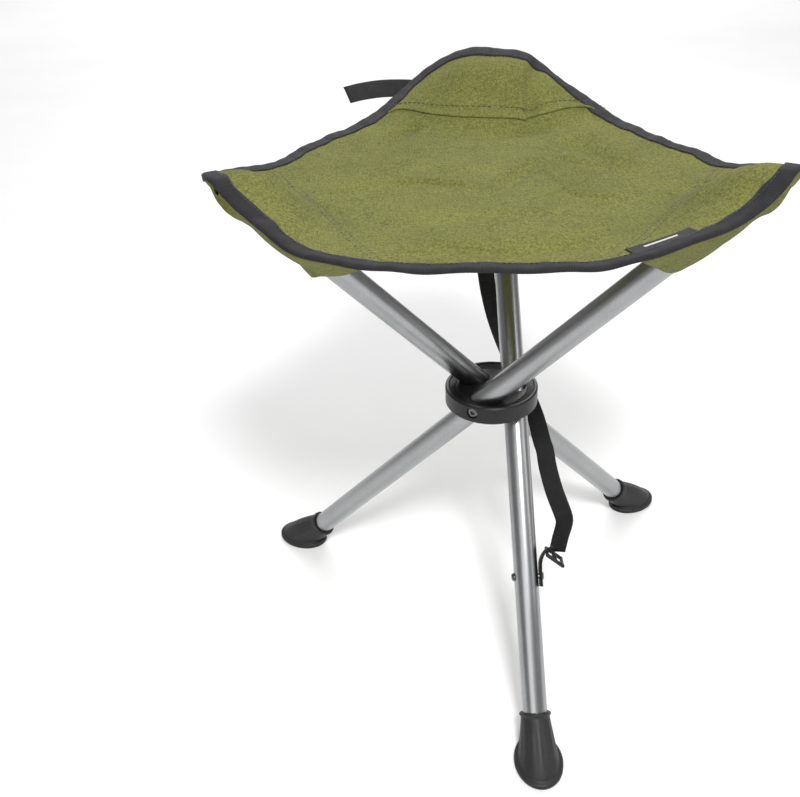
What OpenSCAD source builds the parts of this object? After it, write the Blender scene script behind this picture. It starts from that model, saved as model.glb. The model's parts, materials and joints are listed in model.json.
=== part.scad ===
// Folding three leg camp stool with a sling seat.
// Three straight tubes cross in a moulded hub, and each tube runs from a foot
// to the opposite corner of the seat. Lengths in mm, angles in degrees.
// Z is up, the floor is z = 0, and the front foot points towards -Y.

/* [Frame] */
// Lean of each leg from vertical when the stool is open
tilt = 42; // [38:0.5:46]
// Outer diameter of the leg tubes
tube_d = 19; // [16:0.5:25]
// Wall of the leg tubes
tube_wall = 1.2; // [1:0.1:2]
// Length of tube above its pivot
tube_up = 278; // [240:1:320]
// Length of tube below its pivot
tube_low = 274; // [240:1:320]
// Distance along the leg from the pivot to the floor
leg_low = 288; // [260:1:330]

/* [Hub] */
// Diameter of the moulded hub
hub_d = 75; // [70:1:90]
// Height of the hub above its pivot plane
hub_up = 6.5; // [5:0.5:9]
// Depth of the hub below its pivot plane
hub_down = 8.5; // [7:0.5:12]
// Distance from the hub's axis to each tube's axis
leg_offset = 18.5; // [17:0.5:22]
// Gap on each side between a tube and its slot
slot_gap = 0.3; // [0.2:0.05:0.6]

/* [Fasteners] */
// Shank diameter of the pivot screws
screw_d = 5; // [4:0.5:6]
// Diameter of the pivot screws' heads
screw_head_d = 9.2; // [8:0.2:10]
// Running gap round each screw in its tube
screw_gap = 0.05; // [0.02:0.01:0.1]
// Shank diameter of the strap rivet
rivet_d = 4; // [3:0.5:5]

/* [Feet] */
// Outer diameter of a boot at its collar
collar_d = 21.8; // [21:0.2:26]
// Distance along the leg from the pivot to the collar
collar_at = 252.5; // [240:0.5:300]
// Length of the oval sole
sole_l = 49; // [40:1:60]
// Width of the oval sole
sole_w = 37; // [30:1:46]
// Thickness of the sole plate
sole_t = 4; // [3:0.5:6]

/* [Seat] */
// Radius from the hub's axis to the seat's corners
corner_r = 208; // [190:1:225]
// Radius from the hub's axis to the middle of each seat edge
edge_r = 163; // [140:1:180]
// Height of the seat's edges above the pivots
seat_h = 180; // [160:1:200]
// Rise of the corners above the edges
corner_rise = 42; // [20:1:50]
// Drop of the seat's centre below its edges
centre_sag = 6; // [0:1:20]
// Thickness of the seat panel
seat_t = 1.6; // [1:0.1:3]
// Width of the binding tape
binding_w = 11; // [8:0.5:14]

/* [Straps] */
// Width of the webbing
web_w = 15; // [12:1:20]
// Thickness of the webbing
web_t = 1.6; // [1:0.1:2.5]

/* [Hidden] */

axis_x = 3.8;          // hub axis, so that the origin is under the middle of the bounds
axis_y = 5.6;
pivot_h = leg_low * cos(tilt);
tube_r = tube_d / 2;
hub_r = hub_d / 2;
twist = -atan(leg_offset / (tube_up * sin(tilt)));
fold_tilt = 4;         // lean left when the stool is folded
fit = 0.05;            // gap between parts that are pushed together
strap_at = 150;        // rivet's distance below the pivot along the front leg
corner_turn = [90, -30, 210];

alu = [0.78, 0.79, 0.80];
black = [0.10, 0.10, 0.11];
rubber = [0.17, 0.17, 0.17];
olive = [0.42, 0.46, 0.22];
charcoal = [0.20, 0.20, 0.22];

// Puts its children at the hub, with +X towards seat corner k.
module corner_frame(k) {
    translate([axis_x, axis_y, pivot_h]) rotate([0, 0, corner_turn[k]]) children();
}

// Puts its children on leg k, with +Z up the tube and the pivot at the origin.
module leg_frame(k, lean = tilt) {
    corner_frame(k) translate([0, -leg_offset, 0]) rotate([0, lean, 0]) children();
}

// ---------- hub ----------

module slot() {
    r = tube_r + slot_gap;
    reach = hub_up + hub_down + 6;
    translate([0, -leg_offset, 0]) {
        rotate([0, tilt, 0]) cylinder(h = 3 * reach, r = r, center = true, $fn = 64);
        rotate([0, fold_tilt, 0]) cylinder(h = 3 * reach, r = r, center = true, $fn = 64);
        for (s = [-1, 1]) rotate([90, 0, 0]) linear_extrude(2 * r, center = true)
            polygon([[0, 0], [s * reach * tan(fold_tilt), s * reach], [s * reach * tan(tilt), s * reach]]);
    }
}

module screw_hole() {
    rotate([90, 0, 0]) translate([0, 0, 3.1])
        cylinder(h = hub_r, r = screw_d / 2 + fit, $fn = 48);
    rotate([90, 0, 0]) translate([0, 0, hub_r - 3.8])
        cylinder(h = 8, d = screw_head_d + 0.4, $fn = 48);
}

module hub_body() color(black) difference() {
    translate([axis_x, axis_y, pivot_h]) rotate_extrude($fn = 128)
        polygon([[0, hub_up - 2.2], [hub_r - 9, hub_up - 2.2], [hub_r - 3.4, hub_up - 0.7],
                 [hub_r - 2.6, hub_up], [hub_r - 1, hub_up], [hub_r, hub_up - 1],
                 [hub_r, 1 - hub_down], [hub_r - 1, -hub_down], [0, -hub_down]]);
    for (k = [0:2]) corner_frame(k) slot();
    for (k = [0:2]) corner_frame(k) screw_hole();
}

module pivot_screw(k) color([0.25, 0.25, 0.27]) corner_frame(k) rotate([90, 0, 0]) difference() {
    union() {
        translate([0, 0, 3.4]) cylinder(h = hub_r - 7, d = screw_d, $fn = 48);
        translate([0, 0, hub_r - 3.7]) cylinder(h = 2.2, d = screw_head_d, $fn = 48);
        translate([0, 0, hub_r - 1.5]) cylinder(h = 0.6, d1 = screw_head_d, d2 = 6.4, $fn = 48);
    }
    translate([0, 0, hub_r - 2.4]) cylinder(h = 4, r = 2, $fn = 6);
}

module front_pivot_screw() pivot_screw(0);
module left_pivot_screw() pivot_screw(1);
module right_pivot_screw() pivot_screw(2);

// ---------- legs ----------

module leg_tube(k) color(alu) leg_frame(k) difference() {
    translate([0, 0, -tube_low]) cylinder(h = tube_up + tube_low, r = tube_r, $fn = 96);
    translate([0, 0, -tube_low - 1])
        cylinder(h = tube_up + tube_low + 2, r = tube_r - tube_wall, $fn = 96);
    rotate([90, 0, 0]) cylinder(h = 30, r = screw_d / 2 + screw_gap, center = true, $fn = 48);
    if (k == 0) translate([0, 0, -strap_at]) rotate([90, 0, 0])
        cylinder(h = 30, r = rivet_d / 2 + fit, center = true, $fn = 48);
}

module front_leg_tube() leg_tube(0);
module left_leg_tube() leg_tube(1);
module right_leg_tube() leg_tube(2);

module tube_cap(k) color(black) leg_frame(k) translate([0, 0, tube_up]) rotate_extrude($fn = 64)
    polygon([[0, 3.2], [3, 3], [5.6, 2.5], [7.8, 1.7], [tube_r - 0.3, 0.8], [tube_r, 0.1],
             [tube_r, 0.05], [tube_r - tube_wall - fit, 0.05], [tube_r - tube_wall - fit, -11],
             [tube_r - tube_wall - 1, -12], [0, -12]]);

module front_tube_cap() tube_cap(0);
module left_tube_cap() tube_cap(1);
module right_tube_cap() tube_cap(2);

// The boot is a cone round the tube, cut off level at the floor, on an oval sole.
module foot_boot(k) color(rubber) difference() {
    union() {
        intersection() {
            leg_frame(k) translate([0, 0, -leg_low - 20])
                cylinder(h = leg_low + 20 - collar_at, r1 = 15.5, r2 = collar_d / 2, $fn = 96);
            translate([-400, -400, 0]) cube([800, 800, 200]);
        }
        corner_frame(k) translate([-pivot_h * tan(tilt) - 2, -leg_offset, -pivot_h]) {
            half = (sole_l - sole_w) / 2;
            for (s = [-1, 1]) translate([s * half, 0, 0])
                cylinder(h = sole_t, d = sole_w, $fn = 96);
            translate([-half, -sole_w / 2, 0]) cube([2 * half, sole_w, sole_t]);
        }
    }
    leg_frame(k) translate([0, 0, -tube_low - 0.2])
        cylinder(h = 60, r = tube_r + fit, $fn = 96);
}

module front_foot_boot() foot_boot(0);
module left_foot_boot() foot_boot(1);
module right_foot_boot() foot_boot(2);

// ---------- seat ----------

function ease(t) = let (u = min(1, max(0, t))) u * u * (3 - 2 * u);

// Angle from the nearest corner, for a direction a measured from one corner.
function off_corner(a) = let (m = ((a % 120) + 120) % 120) m > 60 ? 120 - m : m;

// Radius of the seat's outer edge in direction a.
function rim(a) = edge_r + (corner_r - edge_r) / (1 + pow(off_corner(a) / 31.5, 5.5));

// Height of the seat's top above the pivots, at radius r in direction a.
function seat_z(r, a) = let (
        o = off_corner(a), x = r * cos(o), y = r * sin(o),
        lift = ease((x - 114) / 70) + 0.07 * ease((x - 188) / 20))
    seat_h - centre_sag * (1 - pow(r / rim(a), 2)) + corner_rise * 0.95 * lift / (1 + pow(y / 55, 3));

function seat_point(r, a, drop) = [r * cos(a), r * sin(a), seat_z(r, a) - drop];

module seat_frame() {
    translate([axis_x, axis_y, pivot_h]) rotate([0, 0, 90 + twist]) children();
}

// Sheet between two fractions of the way to the rim, less an inset, and two depths.
module ring_sheet(inner, inset, top, bottom, rows, n) {
    f = [for (i = [0:rows]) pow(i / rows, 0.7)];
    function radius(i, a) = inner >= 0 ? inner + (rim(a) - inset - inner) * f[i]
                                       : rim(a) + inner + (-inner - inset) * f[i];
    m = rows + 1;
    pts = [for (d = [top, bottom]) for (j = [0:n - 1]) for (i = [0:rows])
               seat_point(radius(i, j * 360 / n), j * 360 / n, d)];
    lay = m * n;
    function id(s, j, i) = s * lay + (j % n) * m + i;
    faces = concat(
        [for (j = [0:n - 1]) for (i = [0:rows - 1]) [id(0, j, i), id(0, j + 1, i), id(0, j + 1, i + 1)]],
        [for (j = [0:n - 1]) for (i = [0:rows - 1]) [id(0, j, i), id(0, j + 1, i + 1), id(0, j, i + 1)]],
        [for (j = [0:n - 1]) for (i = [0:rows - 1]) [id(1, j, i), id(1, j + 1, i + 1), id(1, j + 1, i)]],
        [for (j = [0:n - 1]) for (i = [0:rows - 1]) [id(1, j, i), id(1, j, i + 1), id(1, j + 1, i + 1)]],
        [for (j = [0:n - 1]) [id(0, j, rows), id(0, j + 1, rows), id(1, j + 1, rows)]],
        [for (j = [0:n - 1]) [id(0, j, rows), id(1, j + 1, rows), id(1, j, rows)]],
        [for (j = [0:n - 1]) [id(0, j, 0), id(1, j + 1, 0), id(0, j + 1, 0)]],
        [for (j = [0:n - 1]) [id(0, j, 0), id(1, j, 0), id(1, j + 1, 0)]]);
    polyhedron(pts, faces, convexity = 6);
}

module seat_panel() color(olive) seat_frame()
    ring_sheet(1, binding_w + 0.2, 0.4, 0.4 + seat_t, 10, 72);

module seat_binding() color(charcoal) seat_frame()
    ring_sheet(-binding_w, 0, 0, 2.8, 1, 72);

// Flat tab beside the binding, tilted to lie on the seat.
module label_tab() color(black) seat_frame() {
    a = 213;
    turn = -27;            // the edge runs in towards the seat's middle here
    l = 48;
    x = (rim(a) - 16) * cos(a);
    y = (rim(a) - 16) * sin(a);
    ends = [for (s = [-l / 2, l / 2]) let (px = x - s * sin(a + turn), py = y + s * cos(a + turn))
        seat_z(norm([px, py]), atan2(py, px))];
    translate([x, y, max((ends[0] + ends[1]) / 2, seat_z(rim(a) - 16, a)) + 1.2])
        rotate([0, 0, a + turn]) rotate([atan((ends[1] - ends[0]) / l), 0, 0])
            translate([-9, -l / 2, 0]) cube([18, l, 1]);
}

// Half sleeve of fabric round the outer side of the tube end, closed at its tip.
module corner_pocket(k) color(olive * 0.9) leg_frame(k) difference() {
    union() {
        translate([0, 0, tube_up - 58]) cylinder(h = 58 + 6, r = tube_r + 3.4, $fn = 64);
    }
    translate([0, 0, tube_up - 59]) cylinder(h = 59 + 3.8, r = tube_r + 1.6, $fn = 64);
    translate([-60, -30, tube_up - 60]) cube([58, 60, 80]);
}

module back_corner_pocket() corner_pocket(0);
module right_corner_pocket() corner_pocket(1);
module left_corner_pocket() corner_pocket(2);

// ---------- straps ----------

// Flat band along path p, with half width vectors w and the webbing's thickness below it.
module band(p, w, t) {
    n = len(p);
    function along(i) = p[min(n - 1, i + 1)] - p[max(0, i - 1)];
    function up(i) = let (c = cross(along(i), w[i])) c * t / norm(c);
    pts = [for (i = [0:n - 1]) each [p[i] - w[i], p[i] + w[i], p[i] + w[i] + up(i), p[i] - w[i] + up(i)]];
    faces = concat([[0, 1, 2, 3]], [[4 * n - 1, 4 * n - 2, 4 * n - 3, 4 * n - 4]],
        [for (i = [0:n - 2]) for (j = [0:3]) let (a = 4 * i + j, b = 4 * i + (j + 1) % 4)
            [a, a + 4, b + 4]],
        [for (i = [0:n - 2]) for (j = [0:3]) let (a = 4 * i + j, b = 4 * i + (j + 1) % 4)
            [a, b + 4, b]]);
    polyhedron(pts, faces, convexity = 4);
}

carry_path = [[0, 136, 172], [1, 112, 122], [3, 90, 72], [7, 71, 40], [17, 53, 12], [33, 35, -7],
              [43, 17, -19], [46.5, 7, -33], [48.5, -6, -49], [51, -22, -63], [54.5, -39, -76],
              [57, -55, -88], [56, -69, -96], [51, -79, -101.5], [45, -85, -104]];

module carry_strap() color(black) translate([axis_x, axis_y, pivot_h])
    band(carry_path, [for (q = carry_path) [web_w / 2, 0, 0] + [0, 0.2, 0.25] * (q[2] < -90 ? 8 : 0)], web_t);

module strap_buckle() color(black) translate([axis_x, axis_y, pivot_h]) translate([39.5, -90.2, -105.2])
    rotate([48, -14, 0]) difference() {
        translate([-3, -10.5, -1.6]) cube([14, 21, 3.2]);
        for (x = [0, 5]) translate([x, -8, -3]) cube([3, 16, 6]);
    }

module strap_anchor() color(black) leg_frame(0) difference() {
    translate([-web_w / 2, -tube_r - 2.6, -strap_at - 8]) cube([web_w, 1.6, 34]);
    translate([0, 0, -strap_at]) rotate([90, 0, 0]) cylinder(h = 30, r = rivet_d / 2 + fit, $fn = 48);
}

module strap_rivet() color([0.3, 0.3, 0.32]) leg_frame(0) translate([0, 0, -strap_at]) rotate([90, 0, 0]) {
    translate([0, 0, -tube_r - 1]) cylinder(h = 2 * tube_r + 4, d = rivet_d, $fn = 48);
    translate([0, 0, -tube_r - 2]) cylinder(h = 1.6, d1 = 4, d2 = 7, $fn = 48);
    translate([0, 0, tube_r + 2.7]) cylinder(h = 1.4, d1 = 8, d2 = 5, $fn = 48);
}

module closure_strap() color(black) translate([axis_x, axis_y, pivot_h]) translate([-48, 203.5, 192])
    rotate([-12, 0, 0]) translate([-64, 0, -web_w / 2]) cube([64, 1.8, web_w]);

hub_body();
front_pivot_screw();
left_pivot_screw();
right_pivot_screw();
front_leg_tube();
left_leg_tube();
right_leg_tube();
front_foot_boot();
left_foot_boot();
right_foot_boot();
front_tube_cap();
left_tube_cap();
right_tube_cap();
seat_panel();
seat_binding();
label_tab();
back_corner_pocket();
right_corner_pocket();
left_corner_pocket();
closure_strap();
carry_strap();
strap_buckle();
strap_anchor();
strap_rivet();
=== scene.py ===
"""Looks of the folding three leg stool: a sling seat of olive cloth on crossed tubes.

Lengths inside the script are millimetres from the hub's axis at the height of its pivots,
with X to the right, Y to the back and Z up. world() turns them into the frame's metres.
"""

import json
import math

import bmesh
import bpy
import numpy as np
from mathutils import Matrix, Vector

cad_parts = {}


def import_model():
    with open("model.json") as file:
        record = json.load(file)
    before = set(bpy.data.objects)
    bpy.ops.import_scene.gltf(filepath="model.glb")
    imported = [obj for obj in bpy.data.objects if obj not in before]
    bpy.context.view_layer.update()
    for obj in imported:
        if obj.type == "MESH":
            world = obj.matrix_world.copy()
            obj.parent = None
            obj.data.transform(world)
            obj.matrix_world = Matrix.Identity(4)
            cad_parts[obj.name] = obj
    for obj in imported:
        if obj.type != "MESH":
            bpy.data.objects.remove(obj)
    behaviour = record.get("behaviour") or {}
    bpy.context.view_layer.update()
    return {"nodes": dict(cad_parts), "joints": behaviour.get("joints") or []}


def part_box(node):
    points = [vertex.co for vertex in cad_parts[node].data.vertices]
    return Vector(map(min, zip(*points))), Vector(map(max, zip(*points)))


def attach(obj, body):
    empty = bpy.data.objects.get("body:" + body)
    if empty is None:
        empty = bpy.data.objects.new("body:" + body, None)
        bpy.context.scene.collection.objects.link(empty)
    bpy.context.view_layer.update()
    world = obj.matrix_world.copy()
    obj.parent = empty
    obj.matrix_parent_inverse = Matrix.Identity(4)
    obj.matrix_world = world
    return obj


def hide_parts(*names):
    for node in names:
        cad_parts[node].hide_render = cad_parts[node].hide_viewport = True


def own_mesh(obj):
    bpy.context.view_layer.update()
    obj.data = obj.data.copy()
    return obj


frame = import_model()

# ---------- places taken from the frame ----------

JOINTS = {j["name"]: j for j in frame["joints"]}
LEGS = ("front", "left", "right")
TOP_OF = {"front": "back", "left": "right", "right": "left"}
CORNERS = {"back": 0.0, "left": 120.0, "right": 240.0}
HUB_LOW, HUB_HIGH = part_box("hub_body")
PIVOT_Z = JOINTS["front_leg_fold"]["pos_m"][2]
HUB = Vector(((HUB_LOW.x + HUB_HIGH.x) / 2, (HUB_LOW.y + HUB_HIGH.y) / 2, PIVOT_Z))
FLOOR_Z = -HUB.z * 1000


def world(p):
    """A point in millimetres from the hub, as metres in the frame."""
    return HUB + Vector(p) / 1000


def from_hub(p):
    """A point of the frame, as millimetres from the hub."""
    return (Vector(p) - HUB) * 1000


def leg_place(leg):
    """Pivot of a leg, with unit vectors up the leg, outwards at its foot and along its fold axis."""
    pivot = from_hub(JOINTS[leg + "_leg_fold"]["pos_m"])
    end = from_hub(JOINTS[TOP_OF[leg] + "_corner_turn"]["pos_m"])
    up = (end - pivot).normalized()
    return pivot, up, Vector((-up.x, -up.y, 0)).normalized(), pivot.normalized()


# ---------- camera ----------

CAMERA_AT = (-74.09, -651.5, 409.21)
CAMERA_TURN, CAMERA_PITCH, CAMERA_ROLL = (math.radians(d) for d in (0.06, 32.35, -2.59))
CAMERA_LENS, CAMERA_SENSOR = 42.39, 36


def add_camera():
    cam = bpy.data.objects.new("camera", bpy.data.cameras.new("camera"))
    bpy.context.scene.collection.objects.link(cam)
    cam.data.sensor_width = CAMERA_SENSOR
    cam.data.lens = CAMERA_LENS
    cam.data.clip_start = 0.02
    back = Vector((math.sin(CAMERA_TURN) * math.cos(CAMERA_PITCH),
                   -math.cos(CAMERA_TURN) * math.cos(CAMERA_PITCH), math.sin(CAMERA_PITCH)))
    right = Vector((math.cos(CAMERA_TURN), math.sin(CAMERA_TURN), 0))
    up = back.cross(right)
    x = right * math.cos(CAMERA_ROLL) + up * math.sin(CAMERA_ROLL)
    y = up * math.cos(CAMERA_ROLL) - right * math.sin(CAMERA_ROLL)
    cam.matrix_world = Matrix.Translation(world(CAMERA_AT)) @ Matrix((x, y, back)).transposed().to_4x4()
    bpy.context.scene.camera = cam


def add_light(name, at, size, power, look_at=(0, 0, 60)):
    light = bpy.data.lights.new(name, "AREA")
    light.shape = "RECTANGLE"
    light.size, light.size_y = size
    light.energy = power
    ob = bpy.data.objects.new(name, light)
    bpy.context.scene.collection.objects.link(ob)
    ob.location = world(at)
    ob.rotation_euler = (world(at) - world(look_at)).to_track_quat("Z", "Y").to_euler()


WORLD_LIGHT = 0.3
FLOOR_HALF = 9              # metres from the middle of the floor to its sides


def add_studio():
    add_light("key_softbox", (150, -1150, 1500), (0.35, 0.35), 27)
    add_light("fill_softbox", (1300, -500, 900), (0.3, 1.4), 4)
    add_light("back_softbox", (300, 1500, 1100), (1.8, 0.5), 9)
    add_light("top_softbox", (0, 200, 1900), (1.4, 1.4), 3)
    add_light("front_softbox", (-700, -1700, 950), (1.4, 1.0), 8)
    add_light("backdrop_light", (0, 3600, 2600), (3.5, 2.0), 100, look_at=(0, 3300, -200))
    scene_world = bpy.data.worlds.new("studio")
    scene_world.use_nodes = True
    background = scene_world.node_tree.nodes["Background"]
    background.inputs["Color"].default_value = (1, 1, 1, 1)
    background.inputs["Strength"].default_value = WORLD_LIGHT
    bpy.context.scene.world = scene_world
    bpy.context.scene.view_settings.view_transform = "Standard"
    far = FLOOR_HALF
    floor = mesh_object("floor", [(-far, -far, 0), (far, -far, 0), (far, far, 0), (-far, far, 0)],
                        [(0, 1, 2, 3)], scale=1)
    put(floor, floor_material())


# ---------- mesh helpers ----------

def mesh_object(name, points, faces, scale=0.001, smooth=True, uv=None):
    """A mesh of points in millimetres from the hub, or in metres of the frame where scale is 1."""
    me = bpy.data.meshes.new(name)
    if scale == 1:
        me.from_pydata([tuple(p) for p in points], [], faces)
    else:
        me.from_pydata([tuple(world(p)) for p in points], [], faces)
    me.validate()
    if smooth:
        me.shade_smooth()
    if uv is not None:
        layer = me.uv_layers.new(name="along")
        loops = np.zeros(len(me.loops), np.int32)
        me.loops.foreach_get("vertex_index", loops)
        layer.data.foreach_set("uv", np.asarray(uv, np.float32)[loops].ravel())
    ob = bpy.data.objects.new(name, me)
    bpy.context.scene.collection.objects.link(ob)
    return ob


def sharpen_border(ob):
    """Marks the open edges of a sheet as sharp, so that its faces keep their own shading up to them."""
    count = np.zeros(len(ob.data.edges), int)
    loops = np.zeros(len(ob.data.loops), np.int32)
    ob.data.loops.foreach_get("edge_index", loops)
    np.add.at(count, loops, 1)
    sharp = ob.data.attributes.new("sharp_edge", "BOOLEAN", "EDGE")
    sharp.data.foreach_set("value", count == 1)


def put(ob, *mats):
    ob.data.materials.clear()
    for m in mats:
        ob.data.materials.append(m)


def grid_faces(rows, cols, close_rows=False, close_cols=False):
    """Quads of a grid whose points are stored row after row."""
    out = []
    for i in range(rows if close_rows else rows - 1):
        for j in range(cols if close_cols else cols - 1):
            a, b = i * cols + j, i * cols + (j + 1) % cols
            c, d = ((i + 1) % rows) * cols + (j + 1) % cols, ((i + 1) % rows) * cols + j
            out.append((a, b, c, d))
    return out


def spline(points, steps):
    """Smooth open curve through points, with that many steps between two of them."""
    p = np.asarray(points, float)
    p = np.vstack([2 * p[0] - p[1], p, 2 * p[-1] - p[-2]])
    out = []
    for i in range(1, len(p) - 2):
        for t in np.linspace(0, 1, steps, endpoint=False):
            out.append(0.5 * (2 * p[i] + (p[i + 1] - p[i - 1]) * t
                              + (2 * p[i - 1] - 5 * p[i] + 4 * p[i + 1] - p[i + 2]) * t ** 2
                              + (3 * p[i] - p[i - 1] - 3 * p[i + 1] + p[i + 2]) * t ** 3))
    out.append(p[-2])
    return np.array(out)


def resample(curve, step):
    """The same curve with points that lie about step apart."""
    gaps = np.linalg.norm(np.diff(curve, axis=0), axis=1)
    run = np.concatenate([[0], np.cumsum(gaps)])
    n = max(2, int(round(run[-1] / step)) + 1)
    at = np.linspace(0, run[-1], n)
    return np.stack([np.interp(at, run, curve[:, c]) for c in range(curve.shape[1])], 1)


def ease(t):
    t = np.clip(t, 0, 1)
    return t * t * (3 - 2 * t)


# ---------- materials ----------

class Nodes:
    """A material's node tree, with short ways to add what the looks below need."""

    def __init__(self, name):
        self.mat = bpy.data.materials.new(name)
        self.mat.use_nodes = True
        self.tree = self.mat.node_tree
        self.shader = self.tree.nodes["Principled BSDF"]
        self.place = self.tree.nodes.new("ShaderNodeTexCoord").outputs["Object"]

    def add(self, kind, **values):
        node = self.tree.nodes.new(kind)
        for key, value in values.items():
            if hasattr(node, key) and not key[0].isupper():
                setattr(node, key, value)
            else:
                node.inputs[key.replace("_", " ")].default_value = value
        return node

    def link(self, a, b):
        self.tree.links.new(a, b)

    def noise(self, scale, detail=3, place=None):
        node = self.add("ShaderNodeTexNoise", Scale=scale, Detail=detail, Roughness=0.55)
        self.link(place or self.place, node.inputs["Vector"])
        return node.outputs["Fac"]

    def math(self, operation, a, b=None):
        node = self.add("ShaderNodeMath", operation=operation)
        for socket, value in zip(node.inputs, (a, b)):
            if value is None:
                continue
            if isinstance(value, (int, float)):
                socket.default_value = value
            else:
                self.link(value, socket)
        return node.outputs[0]

    def mapped(self, scale, rotation):
        node = self.add("ShaderNodeMapping")
        node.inputs["Scale"].default_value = scale
        node.inputs["Rotation"].default_value = rotation
        self.link(self.place, node.inputs["Vector"])
        return node.outputs[0]

    def parts(self, place):
        node = self.add("ShaderNodeSeparateXYZ")
        self.link(place, node.inputs[0])
        return node.outputs

    def along(self):
        node = self.add("ShaderNodeUVMap", uv_map="along")
        return node.outputs[0]

    def ramp(self, fac, stops):
        """Colours placed along fac: stops is a list of (place, (r, g, b))."""
        node = self.add("ShaderNodeValToRGB")
        band = node.color_ramp
        while len(band.elements) < len(stops):
            band.elements.new(0.5)
        for element, (at, colour) in zip(band.elements, stops):
            element.position = at
            element.color = (*colour, 1)
        self.link(fac, node.inputs[0])
        return node.outputs[0]

    def colour(self, socket):
        self.link(socket, self.shader.inputs["Base Color"])

    def roughness(self, fac, low, high):
        node = self.add("ShaderNodeMapRange")
        node.inputs["To Min"].default_value = low
        node.inputs["To Max"].default_value = high
        self.link(fac, node.inputs["Value"])
        self.link(node.outputs[0], self.shader.inputs["Roughness"])

    def bump(self, height, distance, strength):
        """Adds a bump on top of those before it; distance is in metres."""
        node = self.add("ShaderNodeBump", Strength=strength, Distance=distance)
        self.link(height, node.inputs["Height"])
        normal = self.shader.inputs["Normal"]
        if normal.is_linked:
            self.link(normal.links[0].from_socket, node.inputs["Normal"])
        self.link(node.outputs[0], normal)

    def set(self, **values):
        for key, value in values.items():
            self.shader.inputs[key.replace("_", " ")].default_value = value


def tint(colour, share):
    return tuple(min(1, c * share) for c in colour)


def threads(n, pitch):
    """Height of a plain weave: warp and weft go over and under each other, pitch apart in metres."""
    x, y, _ = n.parts(n.place)
    k = math.pi / pitch
    sx, sy = n.math("SINE", n.math("MULTIPLY", x, k)), n.math("SINE", n.math("MULTIPLY", y, k))
    return n.math("ADD", n.math("MULTIPLY", n.math("MULTIPLY", sx, sy), 0.5), 0.5)


OLIVE = (0.152, 0.157, 0.046)
THREAD_PITCH = 0.00085      # metres from one thread of the seat cloth to the next
YARN_TURN = (0, 0, 0.35)    # how the yarns lie to the frame's axes


def cloth_material():
    """Plain weave with thicker yarns here and there both ways, a mottled dye and soft wrinkles."""
    n = Nodes("seat_cloth")
    yarns = n.math("ADD", n.noise(1.0, 2, n.mapped((1500, 130, 400), YARN_TURN)),
                   n.noise(1.0, 2, n.mapped((130, 1500, 400), YARN_TURN)))
    mottled = n.math("ADD", n.math("MULTIPLY", n.noise(24, 4), 0.16),
                     n.math("MULTIPLY", n.noise(620, 3), 0.54))
    weave = threads(n, THREAD_PITCH)
    shade = n.math("ADD", n.math("ADD", mottled, n.math("MULTIPLY", yarns, 0.26)),
                   n.math("MULTIPLY", weave, 0.14))
    n.colour(n.ramp(shade, [(0.56, tint(OLIVE, 0.62)), (0.68, OLIVE), (0.80, tint(OLIVE, 1.4))]))
    n.roughness(n.noise(60), 0.78, 0.95)
    n.bump(n.noise(34, 3), 0.0028, 0.55)
    n.bump(yarns, 0.00035, 0.5)
    n.bump(weave, 0.00022, 0.6)
    n.set(Sheen_Weight=0.02, Sheen_Roughness=0.5, Specular_IOR_Level=0.08)
    return n.mat


def tape_material(name, colour, pitch, gloss=0.72):
    """Ribbed tape: ribs run across it, pitch metres apart along its length."""
    n = Nodes(name)
    u, v, _ = n.parts(n.along())
    rib = n.math("SINE", n.math("MULTIPLY", u, 2 * math.pi / pitch))
    rib = n.math("ADD", n.math("MULTIPLY", rib, 0.5), 0.5)
    edge = n.math("ABSOLUTE", n.math("SINE", n.math("MULTIPLY", v, math.pi / (pitch * 0.8))))
    grain = n.math("ADD", n.math("MULTIPLY", rib, 0.6), n.math("MULTIPLY", edge, 0.4))
    shade = n.math("ADD", n.math("MULTIPLY", n.noise(120, 4), 0.6), n.math("MULTIPLY", grain, 0.4))
    n.colour(n.ramp(shade, [(0.25, tint(colour, 0.6)), (0.5, colour), (0.8, tint(colour, 1.55))]))
    n.roughness(n.noise(80), gloss - 0.08, gloss + 0.12)
    n.bump(n.noise(70, 3), 0.0008, 0.3)
    n.bump(grain, 0.0003, 0.7)
    n.set(Sheen_Weight=0.03, Sheen_Roughness=0.4, Specular_IOR_Level=0.22)
    return n.mat


def thread_material(name, colour):
    n = Nodes(name)
    twist = n.noise(2600, 2)
    n.colour(n.ramp(twist, [(0.3, tint(colour, 0.7)), (0.7, tint(colour, 1.2))]))
    n.set(Roughness=0.7, Sheen_Weight=0.2)
    n.bump(twist, 0.0001, 0.5)
    return n.mat


def plastic_material(name, colour, gloss, grain=2200, wear=0.5):
    """Moulded plastic or rubber with a fine texture, faint flow marks and a little dust."""
    n = Nodes(name)
    blot = n.math("ADD", n.math("MULTIPLY", n.noise(24, 5), wear),
                  n.math("MULTIPLY", n.noise(400, 3), 1 - wear))
    n.colour(n.ramp(blot, [(0.3, tint(colour, 0.78)), (0.55, colour), (0.8, tint(colour, 1.6))]))
    n.roughness(n.noise(45, 4), gloss - 0.07, gloss + 0.1)
    n.bump(n.noise(grain, 2), 0.00008, 0.5)
    n.bump(n.noise(90, 3), 0.0003, 0.25)
    n.set(Specular_IOR_Level=0.28)
    return n.mat


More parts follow.
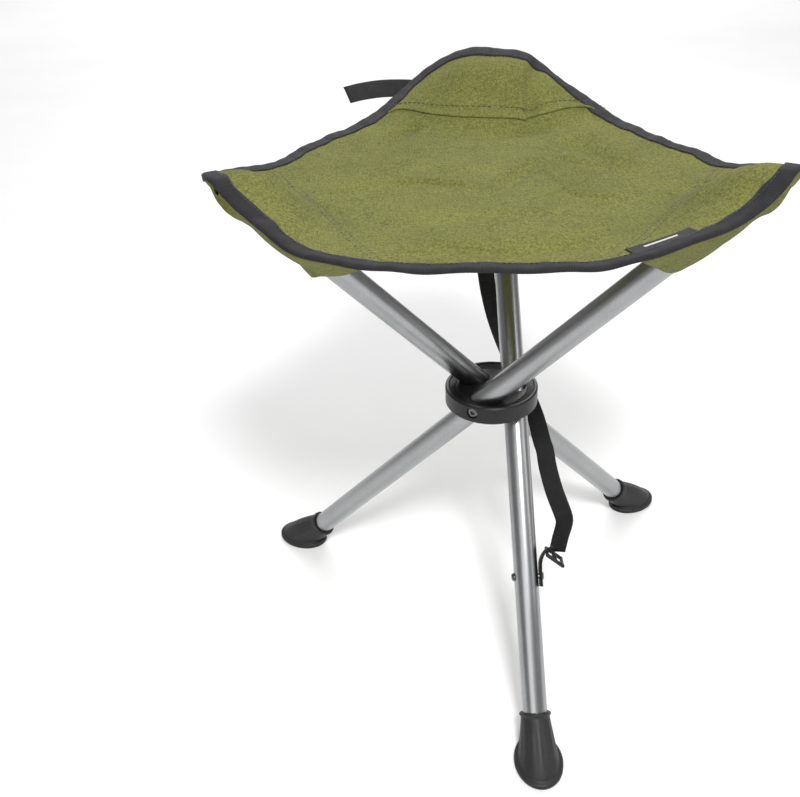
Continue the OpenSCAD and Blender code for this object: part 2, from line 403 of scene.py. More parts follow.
def alloy_material(leg):
    """Satin anodised tube with fine draw lines along leg."""
    n = Nodes("tube_alloy_" + leg)
    _, up, _, _ = leg_place(leg)
    turn = up.to_track_quat("Z", "Y").inverted().to_euler()
    lines = n.noise(1.0, 4, n.mapped((2600, 2600, 18), tuple(turn)))
    blot = n.noise(30, 4)
    n.colour(n.ramp(n.math("ADD", n.math("MULTIPLY", lines, 0.6), n.math("MULTIPLY", blot, 0.4)),
                    [(0.25, (0.27, 0.273, 0.28)), (0.75, (0.42, 0.424, 0.43))]))
    n.roughness(lines, 0.26, 0.37)
    n.bump(lines, 0.00004, 0.35)
    n.set(Metallic=1.0, Anisotropic=0.35)
    return n.mat


def steel_material():
    n = Nodes("screw_steel")
    n.colour(n.ramp(n.noise(300, 4), [(0.3, (0.10, 0.10, 0.105)), (0.7, (0.2, 0.2, 0.205))]))
    n.roughness(n.noise(500, 3), 0.28, 0.5)
    n.bump(n.noise(1500, 2), 0.00005, 0.4)
    n.set(Metallic=1.0)
    return n.mat


def floor_material():
    n = Nodes("floor_paper")
    n.colour(n.ramp(n.noise(3, 3), [(0.3, (0.9, 0.9, 0.9)), (0.7, (0.93, 0.93, 0.93))]))
    n.set(Roughness=0.9, Specular_IOR_Level=0.2)
    return n.mat


# ---------- seat surface ----------

CORNER_R, EDGE_R = 208.0, 163.0     # distance of the corners and of the edges' middles from the axis
CORNER_SPREAD, CORNER_POWER = 31.5, 5.5     # degrees that a corner takes up, and how square it is
SEAT_H, SAG = 180.0, 6.0    # height of the seat's edge above the pivots, and how far its middle hangs
RISE_FROM, RISE_OVER = 114, 70      # where a corner starts to rise, and the length of the slope
BACK_RISE, SIDE_RISE = 39.5, 37.4
TIP_FROM, TIP_OVER = 188, 22
BACK_TIP, SIDE_TIP = 0.07, -0.04    # share of the rise that a corner's last part adds
RIDGE_FRONT, RIDGE_REAR = 34.0, 58.0        # half width of a corner's ridge on its two sides
SLOPE_FRONT, SLOPE_REAR, SLOPE_BACK = 1.6, 2.2, 3.0     # how steeply the ridges fall off
EDGE_RIPPLE = 0.55          # height of the puckers beside the binding
RADIAN = 57.3               # degrees to a radian, in the ripples' phases
NEAR = 0.6                  # distance between the points that a normal is taken from
CLOTH = 1.2                 # thickness of the cloth
HEM_X = 133.0               # distance of the side pockets' seams from the axis
HEM_REACH = 93              # length of those seams to each side of the corner's line

tube_end = from_hub(JOINTS["back_corner_turn"]["pos_m"])
BACK = math.degrees(math.atan2(tube_end.y, tube_end.x))

# The cloth was cut and stretched by hand, so its edge strays: direction, amount and spread.
RIM_STRAYS = [(50, 6, 26), (15, 9, 9), (335, -9, 11), (303, -8, 16), (276, -7, 9), (217, -20, 11),
              (230, -9, 8), (182, -7, 26), (134, -14, 11), (150, -4, 9), (91, 5, 7), (247, -5, 9),
              (108, -4, 8)]
LIFT_STRAYS = [(14, 7, 10), (350, 2, 8), (218, 2, 10)]

# Creases as a line in plan, height (a furrow where it is below 0), width and how fast its ends fade.
CREASES = [
    ([(-190, 10), (-176, 8), (-153, 0), (-131, -21)], 3.4, 4.2),
    ([(-131, -21), (-109, -1), (-77, 11), (-58, 13), (-29, 7), (-4, -9)], 3.2, 3),
    ([(-128, -24), (-114, -45), (-106, -85)], -2.9, 4.2),
    ([(-150, -20), (-138, -50), (-122, -80)], -3.5, 6.8),
    ([(-88, -128), (-38, -119), (-1, -126), (35, -118), (66, -104)], 4.0, 4.2),
    ([(-78, -118), (-30, -110), (30, -108), (70, -92)], -2.5, 6.8),
    ([(106, -40), (132, -34), (157, -48), (180, -44)], 3.2, 4.2),
    ([(-6, -12), (7, 15), (24, 38), (47, 59)], 2.9, 3),
    ([(2, -16), (18, 12), (40, 36)], -2.5, 5.1),
    ([(69, 100), (83, 62), (100, 14)], -7.7, 11.9),
    ([(51, 56), (77, 32), (104, 10)], 3.2, 4.2),
    ([(33, 35), (45, 12), (52, -24), (71, -35), (108, -42)], 2.5, 3),
    ([(55, 190), (47, 160), (42, 131)], -5.7, 6.8),
    ([(48, 188), (40, 160), (37, 133)], 4.4, 3.4),
    ([(-50, 143), (-62, 127), (-80, 104)], -5.1, 7.6),
    ([(-60, 60), (-20, 40), (20, 60)], 1.9, 7.6),
    ([(-40, -60), (10, -50), (60, -66)], 1.9, 6.8),
    ([(-100, -60), (-60, -70), (-20, -64)], -1.9, 6.8),
    ([(110, -95), (140, -75), (160, -70)], 2.9, 5.1),
    ([(-20, 105), (30, 112), (70, 125)], -2.2, 6.8),
]


def polar(x, y):
    """Radius and direction from the back corner, of points in plan."""
    return np.hypot(x, y), np.degrees(np.arctan2(y, x)) - BACK


def plan(r, a):
    t = np.radians(a + BACK)
    return r * np.cos(t), r * np.sin(t)


def off_corner(a):
    """Degrees from direction a to the nearest corner."""
    m = np.mod(a, 120)
    return np.where(m > 60, 120 - m, m)


def strays(a, table):
    """Sum of a table's bumps in direction a."""
    out = 0.0
    for at, amount, spread in table:
        out = out + amount * np.exp(-(((a - at + 180) % 360 - 180) / spread) ** 2)
    return out


def rim(a):
    """Radius of the seat's edge in direction a."""
    share = 1 / (1 + (off_corner(a) / CORNER_SPREAD) ** CORNER_POWER)
    return EDGE_R + (CORNER_R - EDGE_R) * share + strays(a, RIM_STRAYS)


CREASE_PATHS = [(spline(line, 4), height, width) for line, height, width in CREASES]


def crease(x, y, path, height, width):
    """Height that one crease adds at points x, y."""
    best = np.full(np.shape(x), 1e9)
    where = np.zeros(np.shape(x))
    for i in range(len(path) - 1):
        a, b = path[i], path[i + 1]
        d = b - a
        t = np.clip(((x - a[0]) * d[0] + (y - a[1]) * d[1]) / (d @ d), 0, 1)
        gap = np.hypot(x - a[0] - t * d[0], y - a[1] - t * d[1])
        nearer = gap < best
        best = np.where(nearer, gap, best)
        where = np.where(nearer, (i + t) / (len(path) - 1), where)
    fade = np.clip(np.minimum(where, 1 - where) * 4, 0, 1)
    return height * np.exp(-(best / width) ** 2) * ease(0.25 + 0.75 * fade)


def seat_top(x, y):
    """Height of the cloth's upper face at points in plan."""
    x, y = np.asarray(x, float), np.asarray(y, float)
    r, a = polar(x, y)
    edge = rim(a)
    off = np.radians(off_corner(a))
    cx, cy = r * np.cos(off), r * np.sin(off)
    facing = np.cos(np.radians(a))
    back, front = facing > 0.5, facing < -0.5
    wide = np.where(front, RIDGE_FRONT, RIDGE_REAR)
    power = np.where(front, SLOPE_FRONT, np.where(back, SLOPE_BACK, SLOPE_REAR))
    lift = ease((cx - RISE_FROM) / RISE_OVER)
    lift = lift + np.where(back, BACK_TIP, SIDE_TIP) * ease((cx - TIP_FROM) / TIP_OVER)
    z = SEAT_H - SAG * (1 - (r / edge) ** 2)
    z = z + np.where(back, BACK_RISE, SIDE_RISE) * lift / (1 + (cy / wide) ** power)
    z = z + strays(a, LIFT_STRAYS) * (r / edge) ** 4
    for path, height, width in CREASE_PATHS:
        z = z + crease(x, y, path, height, width)
    phase = a / RADIAN
    wave = np.sin(phase * 23 + 1.3 * np.sin(phase * 7)) * ease((r / edge - 0.86) / 0.14)
    return z + EDGE_RIPPLE * wave


def seat_points(x, y, above=0.0):
    """Points on the cloth, raised by above along its normal."""
    x, y = np.asarray(x, float), np.asarray(y, float)
    z = seat_top(x, y)
    nx = (seat_top(x - NEAR, y) - seat_top(x + NEAR, y)) / (2 * NEAR)
    ny = (seat_top(x, y - NEAR) - seat_top(x, y + NEAR)) / (2 * NEAR)
    size = np.sqrt(nx ** 2 + ny ** 2 + 1)
    return np.stack([x + above * nx / size, y + above * ny / size, z + above / size], -1)


# ---------- how the seat folds ----------

KEEP = 0.06                 # share of a half's relief that fold_axes reckons is left when the stool is folded
LEANS = range(46, 76)       # degrees from the vertical that fold_axes tries
LEG_OF = {top: leg for leg, top in TOP_OF.items()}


def turned(name, p):
    """Where joint name at its limit takes the point p."""
    j = JOINTS[name]
    at = from_hub(j["pos_m"])
    return at + Matrix.Rotation(math.radians(j["range_deg"][1]), 3, Vector(j["axis"])) @ (p - at)


def folded(corner, p):
    """Where the folded stool has a point of one of the seat's corners."""
    return turned(LEG_OF[corner] + "_leg_fold", turned(corner + "_corner_turn", p))


def seat_vertex(r, a):
    x, y = plan(r, a)
    return Vector((float(x), float(y), float(seat_top(x, y))))


def fold_axes():
    """For each half sector, a direction to flatten it along, chosen so that neighbours would meet when
    folded; nothing below flattens the halves.
    """
    centre = seat_vertex(0.0, 0.0)
    tip, next_tip = seat_vertex(CORNER_R, 0), seat_vertex(CORNER_R, 120)
    middle = seat_vertex(EDGE_R, 60)

    def axis(end, side, lean):
        line = (end - centre).normalized()
        flat = Vector((0, 0, 1)).cross(line).normalized() * side
        return (flat * math.cos(lean) + line.cross(flat).normalized() * side * math.sin(lean)).normalized()

    def landing(corner, end, side, lean):
        n = axis(end, side, lean)
        return folded(corner, middle - n * (middle - end).dot(n) * (1 - KEEP))

    best = None
    for i in LEANS:
        for k in LEANS:
            gap = (landing("back", tip, 1, math.radians(i))
                   - landing("left", next_tip, -1, math.radians(k))).length
            if best is None or gap < best[0]:
                best = (gap, math.radians(i), math.radians(k))
    axes = {}
    for corner, a in CORNERS.items():
        end = seat_vertex(CORNER_R, a)
        axes[corner, 1] = (axis(end, 1, best[1]), end)
        axes[corner, -1] = (axis(end, -1, best[2]), end)
    return axes


FOLD_AXES = fold_axes()


def go_with_seat(ob, corner):
    """ob moves with a corner of the seat and gets a mesh of its own."""
    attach(ob, corner + "_corner")
    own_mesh(ob)


# ---------- seat pieces ----------

HALVES = [(corner, side) for corner in CORNERS for side in (1, -1)]


def half_name(corner, side):
    return "%s_%s" % (corner, "a" if side > 0 else "b")


def seat_half(corner, side, mat):
    """One sixth of the seat: from a corner's line to the middle of the edge beside it."""
    rows, cols = 84, 72
    hole = 0.0002           # share of the radius left open, so that no faces shrink to nothing
    f = hole + (1 - hole) * np.linspace(0, 1, rows) ** 0.92
    a = CORNERS[corner] + side * np.linspace(0, 60, cols)
    rr = f[:, None] * (rim(a) - 1.5)[None, :]
    x, y = plan(rr, np.broadcast_to(a, rr.shape))
    top = seat_points(x.ravel(), y.ravel())
    faces = grid_faces(rows, cols)
    if side > 0:
        faces = [q[::-1] for q in faces]
    ob = mesh_object("seat_cloth_" + half_name(corner, side), top, faces)
    put(ob, mat)
    sharpen_border(ob)
    thick = ob.modifiers.new("cloth", "SOLIDIFY")
    thick.thickness = CLOTH / 1000
    thick.offset = -1
    go_with_seat(ob, corner)
    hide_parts("seat_panel")


# Section of the folded binding, as distance in from the seat's edge and height above the cloth.
TAPE_SECTION = [(11.0, 0.1), (10.9, 0.75), (9.6, 0.95), (7, 1.05), (4, 1.15), (1.6, 1.05), (0.5, 0.55),
                (-0.1, -0.3), (0.0, -1.3), (0.5, -2.2), (1.8, -2.7), (4, -2.8), (8, -2.7), (10.2, -2.5),
                (10.5, -2.0), (10.2, -1.3)]


def tape_width(a):
    """How much wider than elsewhere the binding is folded over, in direction a."""
    return 1 + 0.4 * np.exp(-((np.mod(a + 180, 360) - 180) / 34) ** 2)


def tape_run(name, start, end, mat):
    """Binding tape folded over the seat's edge, from direction start to end."""
    steps = 110
    a = np.linspace(start, end, steps)
    edge = rim(a)
    x0, y0 = plan(edge, a)
    run = np.concatenate([[0], np.cumsum(np.hypot(np.diff(x0), np.diff(y0)))])
    tangent = np.stack([np.gradient(x0), np.gradient(y0)], 1)
    tangent /= np.linalg.norm(tangent, axis=1)[:, None]
    inward = np.stack([-tangent[:, 1], tangent[:, 0]], 1) * np.sign(end - start)
    phase = a / RADIAN
    wander = 0.5 * np.sin(phase * 31) + 0.35 * np.sin(phase * 57 + 1)
    points, uv = [], []
    for inset, height in TAPE_SECTION:
        q = inset * tape_width(a) + wander * (inset > 8)
        px, py = x0 + inward[:, 0] * q, y0 + inward[:, 1] * q
        puff = 0.18 * np.sin(run / 2.3) * (abs(height) < 2)
        points.append(seat_points(px, py, height + puff))
        uv.append(np.stack([run / 1000, np.full(steps, inset / 1000)], 1))
    faces = grid_faces(len(TAPE_SECTION), steps, close_rows=True)
    if end < start:
        faces = [q[::-1] for q in faces]
    ob = mesh_object(name, np.concatenate(points), faces, uv=np.concatenate(uv))
    put(ob, mat)
    return ob


STITCH = 0.75               # thickness of the sewing thread


def stitches(name, runs, mat, pitch, length, above):
    """Rows of short thread loops lying on the cloth; runs are curves of points in plan."""
    ring = 6
    stations = ((-0.5, 0.25), (-0.36, 0.85), (0, 1), (0.36, 0.85), (0.5, 0.25))
    middles, aheads = [], []
    for run in runs:
        line = resample(np.asarray(run, float), pitch)
        ahead = np.gradient(line, axis=0)
        middles.append(line)
        aheads.append(ahead / np.linalg.norm(ahead, axis=1)[:, None])
    p, d = np.concatenate(middles), np.concatenate(aheads)
    t = 2 * np.pi * np.arange(ring) / ring
    blocks = []
    for s, share in stations:
        q = p + d * s * length
        c = seat_points(q[:, 0], q[:, 1], above - (0.5 * STITCH if abs(s) > 0.4 else 0))
        across = np.stack([-d[:, 1], d[:, 0], np.zeros(len(d))], 1)
        radius = 0.5 * STITCH * share
        blocks.append(c[:, None, :] + across[:, None, :] * (radius * np.cos(t))[None, :, None]
                      + np.array([0, 0, 1.0]) * (radius * np.sin(t))[None, :, None])
    points = np.stack(blocks, 1).reshape(-1, 3)
    one = grid_faces(len(stations), ring, close_cols=True)
    size = len(stations) * ring
    one += [tuple(reversed(range(ring))), tuple(range(size - ring, size))]
    faces = [tuple(size * i + v for v in f) for i in range(len(p)) for f in one]
    ob = mesh_object(name, points, faces)
    put(ob, mat)
    return ob


def corner_line(corner, side, x):
    """Straight line across a corner at distance x, from the corner's line out to the binding."""
    ys = np.linspace(0, HEM_REACH, 12)
    a = CORNERS[corner] + side * np.degrees(np.arctan2(ys, x))
    return np.stack(plan(np.hypot(x, ys), a), 1)


# The back pocket's seam in plan, from left to right.
HEM = [(-78, 160), (-66, 163), (-54, 157), (-38, 146), (-18, 138), (2, 134.5), (17, 132.5), (30, 130.5),
       (39, 128.5), (41, 130.5), (58, 134.5), (79, 142.5), (93, 144), (103, 137)]

# Section of the lap of cloth over that seam, as distance towards the back and height above the seat.
HEM_SECTION = [(9.5, -0.25), (8, 0.25), (5, 0.55), (2.5, 0.95), (0.8, 1.6), (-0.2, 1.5), (-0.7, 0.8),
               (-0.2, 0.1), (1.5, -0.35)]


def hem_line(side):
    """Half of the back pocket's seam: points, unit vectors towards the back, and how proud it is."""
    path = resample(spline(HEM, 10), 2.5)
    ahead = np.gradient(path, axis=0)
    ahead /= np.linalg.norm(ahead, axis=1)[:, None]
    over = np.stack([-ahead[:, 1], ahead[:, 0]], 1)
    share = np.linspace(0, 1, len(path))
    proud = ease(share * 16) * ease((1 - share) * 16)
    _, a = polar(path[:, 0], path[:, 1])
    cut = int(np.argmin(np.abs(a)))
    part = slice(0, cut + 1) if side > 0 else slice(cut, None)
    return path[part], over[part], proud[part]


def hem_fold(name, mat, corner, side):
    """A lap of cloth whose front edge stands proud of the seat."""
    path, over, proud = hem_line(side)
    points = []
    for q, h in HEM_SECTION:
        line = path + over * q
        points.append(seat_points(line[:, 0], line[:, 1], np.where(h > 0, h * (0.15 + 0.85 * proud), h)))
    faces = grid_faces(len(HEM_SECTION), len(path), close_rows=True)
    ob = mesh_object(name, np.concatenate(points), faces)
    put(ob, mat)
    fix_normals(ob)
    go_with_seat(ob, corner)


def fix_normals(ob):
    """Turns all faces of a closed piece outwards."""
    bm = bmesh.new()
    bm.from_mesh(ob.data)
    bmesh.ops.recalc_face_normals(bm, faces=bm.faces)
    bm.to_mesh(ob.data)
    bm.free()


def make_seat(cloth, tape, olive_thread, dark_thread_and_shade_line):
    """The six halves of the seat, each with its binding and its rows of stitches."""
    for corner, side in HALVES:
        name = half_name(corner, side)
        seat_half(corner, side, cloth)
        a0 = CORNERS[corner]
        band = tape_run("binding_" + name, a0, a0 + side * 60, tape)
        go_with_seat(band, corner)
        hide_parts("seat_binding")
        a = np.linspace(a0 + side * 0.6, a0 + side * 59.6, 90)
        line = np.stack(plan(rim(a) - 9.4 * tape_width(a), a), 1)
        # Dark binding stitches: real stitching, but set darker than the tape and so close that they also
        # form a near continuous line of painted shade along the binding's inner edge.
        row = stitches("binding_stitches_" + name, [line], dark_thread_and_shade_line, pitch=3.2, length=2.6, above=0.95)
        go_with_seat(row, corner)
        if corner == "back":
            hem_fold("back_hem_" + name, cloth, corner, side)
            path, over, _ = hem_line(side)
            rows, above = [(path + over * 8.2)[2:-2]], 0.75
        else:
            rows, above = [corner_line(corner, side, HEM_X + s) for s in (-2.6, 2.6)], 0.1
        seam = stitches("seam_stitches_" + name, rows, olive_thread, pitch=4.4, length=3.0, above=above)
        go_with_seat(seam, corner)


# ---------- corner pockets ----------

POCKET_X = 146.0            # distance of a pocket's mouth from the axis
POCKET_RISE = 39.9          # rise of the seat above a pocket, from the edge's height to the corner
POCKET_TAPER = 20           # length over which a pocket closes at its end
TUBE_END_X = 186            # distance of a tube's end from the axis
TUBE_TILT = math.radians(42)
TUBE_CLEAR = 14.6           # height from a tube's middle line down to the cloth under it
SLEEVE_SHARE = 0.16         # share of a pocket's width that lies against the tube


def pocket_drop(x, y, edge_y, end):
    """How far a pocket that closes at end hangs below the seat, at x along its corner and y across."""
    top = SEAT_H - 2 + POCKET_RISE * ease((x - RISE_FROM) / RISE_OVER)
    tube_low = np.minimum(x, TUBE_END_X) / math.tan(TUBE_TILT) - TUBE_CLEAR
    into_taper = np.clip(x - end + POCKET_TAPER, 0, 99) / POCKET_TAPER
    deep = np.maximum(top - tube_low, 2) * np.sqrt(np.clip(1 - into_taper ** 2, 0.0, 1))
    flat_half = 5           # half width of the pocket's level bottom
    across = np.clip(1 - np.maximum(np.abs(y) - flat_half, 0) / np.maximum(edge_y - flat_half, 1), 0, 1)
    return deep * across


def pocket_patch(name, corner, ys, mat):
    """Part of a pocket: ys are shares of the way from the corner's line to the edge, minus to its right."""
    a0 = CORNERS[corner]
    rows = 26
    scan = np.linspace(0, 60, 241)
    columns = []
    end = float(rim(a0)) - 2.0
    x = POCKET_X + (end - POCKET_X) * np.sin(np.linspace(0, math.pi / 2, rows))
    for share in ys:
        side = 1 if share >= 0 else -1
        r_edge = rim(a0 + side * scan) - 2
        cx, cy = r_edge * np.cos(np.radians(scan)), r_edge * np.sin(np.radians(scan))
        edge_y = np.interp(-x, -cx, cy)
        y = abs(share) * edge_y
        px, py = plan(np.hypot(x, y), a0 + side * np.degrees(np.arctan2(y, x)))
        z = seat_top(px, py) - 2.4 - pocket_drop(x, y, edge_y, end)
        z = z + 0.8 * np.sin(x / 6.0) * math.sin(share * 9) * (1 - abs(share))
        columns.append(np.stack([px, py, z], 1))
    points = np.stack(columns, 1).reshape(-1, 3)
    ob = mesh_object(name, points, grid_faces(rows, len(ys)))
    put(ob, mat)
    thick = ob.modifiers.new("cloth", "SOLIDIFY")
    thick.thickness = 0.9 / 1000
    thick.offset = 0
    return ob


def make_pockets(cloth):
    """A pocket for each tube's end: a sleeve that stays on the tube, and sides that go with the seat."""
    for corner in CORNERS:
        shares = np.linspace(-SLEEVE_SHARE, SLEEVE_SHARE, 13)
        sleeve = pocket_patch("pocket_sleeve_" + corner, corner, shares, cloth)
        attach(sleeve, LEG_OF[corner] + "_leg")
        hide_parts(corner + "_corner_pocket")
        for side in (1, -1):
            shares = side * np.linspace(SLEEVE_SHARE, 1, 22)
            side_part = pocket_patch("pocket_side_" + half_name(corner, side), corner, shares, cloth)
            go_with_seat(side_part, corner)


# ---------- boots ----------

TUBE_R = 9.5
LEG_LOW = 288.0             # length of a leg from its pivot down to the floor
COLLAR_AT = 252.5           # distance of the boot's top edge from the pivot, down the leg
BOOT_SIDES = 96             # points round the boot
SOLE_LONG, SOLE_WIDE = 24.5, 18.5   # half axes of the oval sole
CONE_TOP = 11.2             # radius of the cone under the collar
CONE_LONG, CONE_WIDE = 20.6, 15.4   # half axes of the cone above the sole

# Rings of the collar as distance down the leg and radius: the dark bore, the lip and the groove below it.
COLLAR_RINGS = ((14, 9.65), (0.4, 9.65), (0, 10.1), (-0.1, 11.3), (0.4, 12.1), (1.2, 12.3), (2.0, 12.0),
                (2.6, 11.3))

# Rings of the sole as height above the floor and half axes.
SOLE_RINGS = ((5.1, 20.9, 15.7), (4.7, 21.6, 16.3), (4.4, 22.9, 17.3), (3.9, 24.0, 18.1), (3.2, 24.5, 18.5),
              (2.4, 24.4, 18.4), (2.1, 24.0, 18.0), (1.8, 24.4, 18.4), (0.9, 24.5, 18.5), (0.2, 24.1, 18.1),
              (0.0, 23.5, 17.6))


def boot(leg, mat):
    """Conical rubber boot with a lipped collar, soft flutes and an oval sole with a trodden rim."""
    pivot, up, out, side = leg_place(leg)
    tilt = math.acos(up.z)
    centre_low = pivot - up * LEG_LOW + out * 2
    centre_low.z = FLOOR_Z
    rings = []

    def ring(centre, lean, ra, rb, flute=0.0, ribs=0.0):
        across = out * math.cos(lean) + Vector((0, 0, 1)) * math.sin(lean)
        row = []
        for k in range(BOOT_SIDES):
            t = 2 * math.pi * k / BOOT_SIDES
            swell = 1 + flute * math.cos(14 * t) + ribs * sum(
                math.exp(-((t - 4.15 - 0.17 * i) / 0.035) ** 2) for i in range(4))
            row.append(centre + across * ra * swell * math.cos(t) + side * rb * swell * math.sin(t))
        rings.append(row)

    collar = pivot - up * COLLAR_AT
    for drop, radius in COLLAR_RINGS:
        ring(collar - up * drop, tilt, radius, radius)
    start = collar - up * 3.4
    foot = centre_low + Vector((0, 0, 5.6))
    steps = 14
    for i in range(steps):
        s = i / (steps - 1)
        grow = s ** 1.15
        centre = start.lerp(foot, s)
        mid = math.sin(math.pi * min(1, s * 1.05))
        ribs = 0.03 * float(ease((s - 0.45) * 3) * ease((1.02 - s) * 6))
        ring(centre, tilt * (1 - s), CONE_TOP + (CONE_LONG - CONE_TOP) * grow,
             CONE_TOP + (CONE_WIDE - CONE_TOP) * grow, 0.012 * mid, ribs)
    for z, ra, rb in SOLE_RINGS:
        ring(centre_low + Vector((0, 0, z)), 0, ra, rb)
    for share in (0.86, 0.72, 0.58, 0.44, 0.30):
        for z, nudge in ((0.0, 0.05), (1.0, 0.035), (1.0, -0.015), (0.0, -0.03)):
            inner = share + nudge
            ring(centre_low + Vector((0, 0, z)), 0, SOLE_LONG * inner, SOLE_WIDE * inner)
    points = [p for row in rings for p in row]
    faces = grid_faces(len(rings), BOOT_SIDES, close_cols=True)
    faces.append(tuple(range(BOOT_SIDES))[::-1])
    faces.append(tuple(range(len(points) - BOOT_SIDES, len(points))))
    ob = mesh_object(leg + "_boot", points, faces)
    fix_normals(ob)
    put(ob, mat)
    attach(ob, leg + "_leg")
    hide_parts(leg + "_foot_boot")


# ---------- straps ----------

WEB_W, WEB_T = 15.0, 1.5    # width and thickness of the webbing
STRAP_STEP = 3.0            # distance between a strap's stations

# The carry strap's middle line from the back pocket down to the buckle, and its twist in degrees there.
CARRY_PATH = [(0, 136, 172), (1, 112, 122), (3, 90, 72), (7, 71, 40), (15, 54, 12), (27, 38, -9),
              (35, 21, -23), (39.5, 8, -36), (42.5, -5, -48), (44.5, -12, -54), (45.5, -22, -63),
              (49, -38, -76), (54.5, -54, -89), (54.5, -60, -93), (50, -70, -99), (46, -80, -105)]
CARRY_TURNS = [5, 10, 20, 40, 60, 50, 45, 25, 12, 8, 12, 15, 20, 28, 32, 35]


def strap(name, path, wide, mat, thick=WEB_T, slant=0.0):
    """Flat webbing along path; wide has the direction of its width at each point, slant skews its end."""
    both = np.hstack([spline(path, 10), spline(wide, 10)])
    both = resample(both, STRAP_STEP)
    line, side = both[:, :3], both[:, 3:]
    ahead = np.gradient(line, axis=0)
    ahead /= np.linalg.norm(ahead, axis=1)[:, None]
    side = side - ahead * (side * ahead).sum(1)[:, None]
    side /= np.linalg.norm(side, axis=1)[:, None]
    out = np.cross(ahead, side)
    run = np.concatenate([[0], np.cumsum(np.linalg.norm(np.diff(line, axis=0), axis=1))])
    h, t = WEB_W / 2, thick / 2
    upper = [(-h + 0.35, t * 0.8), (-h + 1.6, t), (-h / 3, t * 0.88), (h / 3, t * 0.88), (h - 1.6, t),
             (h - 0.35, t * 0.8)]
    section = [(-h, 0)] + upper + [(h, 0)] + [(w, -d) for w, d in reversed(upper)]
    points, uv = [], []
    n = len(line)
    for i in range(n):
        for w, d in section:
            skew = slant * w if i == n - 1 else 0.0
            points.append(line[i] + side[i] * w + out[i] * d + ahead[i] * skew)
            uv.append((run[i] / 1000, w / 1000))
    m = len(section)
    faces = grid_faces(n, m, close_cols=True)
    faces.append(tuple(range(m))[::-1])
    faces.append(tuple((n - 1) * m + k for k in range(m)))
    ob = mesh_object(name, points, faces, uv=uv)
    fix_normals(ob)
    put(ob, mat)
    return ob


def carry_widths():
    """Direction of the carry strap's width at each point of its path."""
    out = []
    path = [Vector(p) for p in CARRY_PATH]
    for i, turn in enumerate(CARRY_TURNS):
        ahead = (path[min(i + 1, len(path) - 1)] - path[max(i - 1, 0)]).normalized()
        across = Vector((1, 0, 0))
        across = (across - ahead * across.dot(ahead)).normalized()
        out.append(tuple(Matrix.Rotation(math.radians(turn), 3, ahead) @ across))
    return out


def rounded_bar(points, faces, a, b, radius, flat, up):
    """Adds a round ended bar from a to b to a mesh under way; flat is its height along up, as a share."""
    ahead = (b - a).normalized()
    side = ahead.cross(up).normalized()
    top = side.cross(ahead)
    base, ring = len(points), 12
    stations = [(-radius * 0.9, 0.35), (-radius * 0.6, 0.8), (0, 1.0)]
    places = [(a + ahead * s, share) for s, share in stations]
    places += [(b - ahead * s, share) for s, share in reversed(stations)]
    for c, share in places:
        for k in range(ring):
            t = 2 * math.pi * k / ring
            reach = radius * share
            points.append(c + side * reach * math.cos(t) + top * reach * flat * math.sin(t))
    last = len(places) - 1
    for i in range(last):
        for k in range(ring):
            faces.append((base + i * ring + k, base + i * ring + (k + 1) % ring,
                          base + (i + 1) * ring + (k + 1) % ring, base + (i + 1) * ring + k))
    faces.append(tuple(base + k for k in reversed(range(ring))))
    faces.append(tuple(base + last * ring + k for k in range(ring)))


BUCKLE_X, BUCKLE_Y = 7.2, 9.2       # distance of the buckle's outer bars and of their ends from its middle


def buckle(mat):
    """Flat moulded slider with three bars."""
    lo, hi = (from_hub(v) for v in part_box("strap_buckle"))
    centre = (lo + hi) / 2 + Vector((-1, 2, 1))
    long = Vector((0.79, -0.32, -0.52)).normalized()
    up = long.cross(Vector((0.12, 0.84, -0.40))).normalized()
    turn = Matrix((long, up.cross(long), up)).transposed()
    points, faces = [], []
    for x, radius in ((-BUCKLE_X, 1.5), (0, 2.1), (BUCKLE_X, 1.5)):
        ends = [centre + turn @ Vector((x, y, 0)) for y in (-BUCKLE_Y, BUCKLE_Y)]
        rounded_bar(points, faces, *ends, radius, 0.75, up)
    for y in (-BUCKLE_Y - 0.2, BUCKLE_Y + 0.2):
        ends = [centre + turn @ Vector((x, y, 0)) for x in (-BUCKLE_X, BUCKLE_X)]
        rounded_bar(points, faces, *ends, 1.7, 0.9, up)
    ob = mesh_object("buckle", points, faces)
    fix_normals(ob)
    put(ob, mat)
    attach(ob, "front_leg")
    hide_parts("strap_buckle")


RIVET_AT = 150              # distance of the strap's rivet from the pivot, down the front leg


def make_straps(web, buckle_mat, hook):
    """The carry strap with its buckle and anchor, and the closure strap at the back corner."""
    carry = strap("carry_webbing", CARRY_PATH, carry_widths(), web)
    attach(carry, "front_leg")
    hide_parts("carry_strap")
    buckle(buckle_mat)
    pivot, up, _, side = leg_place("front")
    rivet = pivot - up * RIVET_AT
    wall = side * (TUBE_R + 1.9)
    tab_path = [rivet + wall * far + up * rise
                for far, rise in ((1, -8), (1, 4), (1.1, 13), (1.5, 20), (2, 22))]
    tab = strap("anchor_tab", tab_path, [tuple(up.cross(side))] * len(tab_path), web)
    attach(tab, "front_leg")
    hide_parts("strap_anchor")
    tail_path = [(-44, 206, 191), (-52, 206, 192.6), (-67, 205, 193.8), (-82, 204.5, 193.8),
                 (-98, 204.5, 192), (-110, 204.5, 189.6)]
    tail = strap("closure_tab", tail_path, [(0, 0.2, 0.98)] * len(tail_path), hook, thick=1.8, slant=0.18)
    go_with_seat(tail, "back")
    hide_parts("closure_strap")


# ---------- label ----------

LABEL_FROM, LABEL_TO, LABEL_STEPS = 209.0, 221.8, 17
LABEL_INSET, LABEL_WIDE = 9.5, 12.0


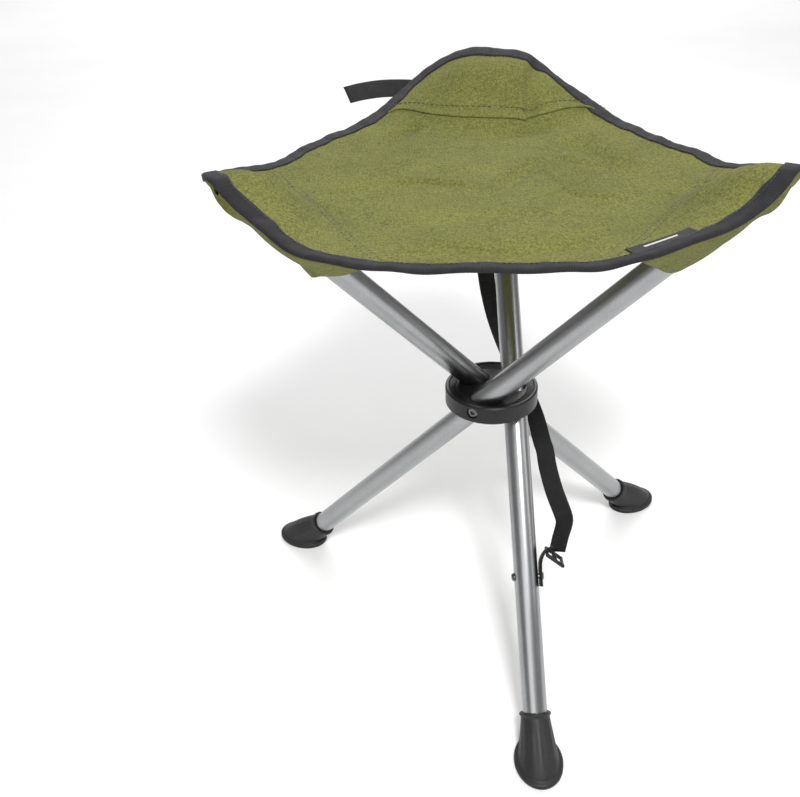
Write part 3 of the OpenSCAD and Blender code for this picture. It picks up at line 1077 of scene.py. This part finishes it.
def make_label(mat, stripe):
    """Plain woven tab beside the binding, with a stripe in place of any words."""
    a = np.linspace(LABEL_FROM, LABEL_TO, LABEL_STEPS)
    edge = np.stack(plan(rim(a) - LABEL_INSET, a), 1)
    tangent = np.gradient(edge, axis=0)
    tangent /= np.linalg.norm(tangent, axis=1)[:, None]
    inward = np.stack([-tangent[:, 1], tangent[:, 0]], 1)
    for name, low, high, first, last, above, thick, material in (
            ("label_tab", 0, LABEL_WIDE, 0, LABEL_STEPS, 0.55, 0.7, mat),
            ("label_stripe", 5.6, 7.4, 4, 13, 1.0, 0.35, stripe)):
        rows = [low, (low * 2 + high) / 3, (low + 2 * high) / 3, high]
        points = []
        for h in (above + thick / 2, above - thick / 2):
            for q in rows:
                p = edge[first:last] + inward[first:last] * q
                points.append(seat_points(p[:, 0], p[:, 1], h))
        n, m = last - first, len(rows)
        faces = grid_faces(m, n) + [tuple(m * n + i for i in q[::-1]) for q in grid_faces(m, n)]
        border = list(range(n)) + [r * n + n - 1 for r in range(1, m)]
        border += [(m - 1) * n + i for i in reversed(range(n - 1))]
        border += [r * n for r in reversed(range(1, m - 1))]
        for i, v in enumerate(border):
            w = border[(i + 1) % len(border)]
            faces.append((w, v, m * n + v, m * n + w))
        ob = mesh_object(name, np.concatenate(points), faces, smooth=False)
        fix_normals(ob)
        put(ob, material)
        go_with_seat(ob, "right")
        if name == "label_tab":
            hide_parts("label_tab")


# ---------- frame pieces ----------

def finish_frame():
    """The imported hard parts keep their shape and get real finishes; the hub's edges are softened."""
    nodes = frame["nodes"]
    looks = {"hub_body": plastic_material("hub_nylon", (0.014, 0.014, 0.015), 0.36, grain=1800)}
    steel = steel_material()
    cap = plastic_material("cap_plastic", (0.03, 0.03, 0.03), 0.45)
    for leg in LEGS:
        looks[leg + "_leg_tube"] = alloy_material(leg)
        looks[leg + "_pivot_screw"] = steel
        looks[leg + "_tube_cap"] = cap
    looks["strap_rivet"] = steel
    for name, mat in looks.items():
        ob = nodes[name]
        put(ob, mat)
        if name == "hub_body":
            round_edges = ob.modifiers.new("edges", "BEVEL")
            round_edges.width = 0.0005
            round_edges.segments = 2
            round_edges.limit_method = "ANGLE"
            round_edges.angle_limit = math.radians(40)
            round_edges.harden_normals = True


add_camera()
add_studio()
finish_frame()
cloth_mat = cloth_material()
webbing_mat = tape_material("webbing", (0.012, 0.012, 0.0125), 0.0016)
# The dark binding thread is partly painted shade: its stitches also draw the dark line along the binding's
# inner edge.
make_seat(cloth_mat, tape_material("binding_tape", (0.018, 0.0174, 0.0202), 0.0014),
          thread_material("olive_thread", tint(OLIVE, 0.42)),
          thread_material("dark_thread_and_shade_line", (0.01, 0.01, 0.011)))
make_pockets(cloth_mat)
boot_mat = plastic_material("boot_rubber", (0.026, 0.026, 0.026), 0.46, grain=1500, wear=0.6)
for leg_name in LEGS:
    boot(leg_name, boot_mat)
make_straps(webbing_mat, plastic_material("buckle_plastic", (0.018, 0.018, 0.018), 0.42),
            tape_material("closure_tape", (0.02, 0.02, 0.021), 0.0012, gloss=0.5))
make_label(tape_material("label_weave", (0.006, 0.006, 0.006), 0.0007, gloss=0.6),
           thread_material("label_stripe", (0.6, 0.6, 0.6)))
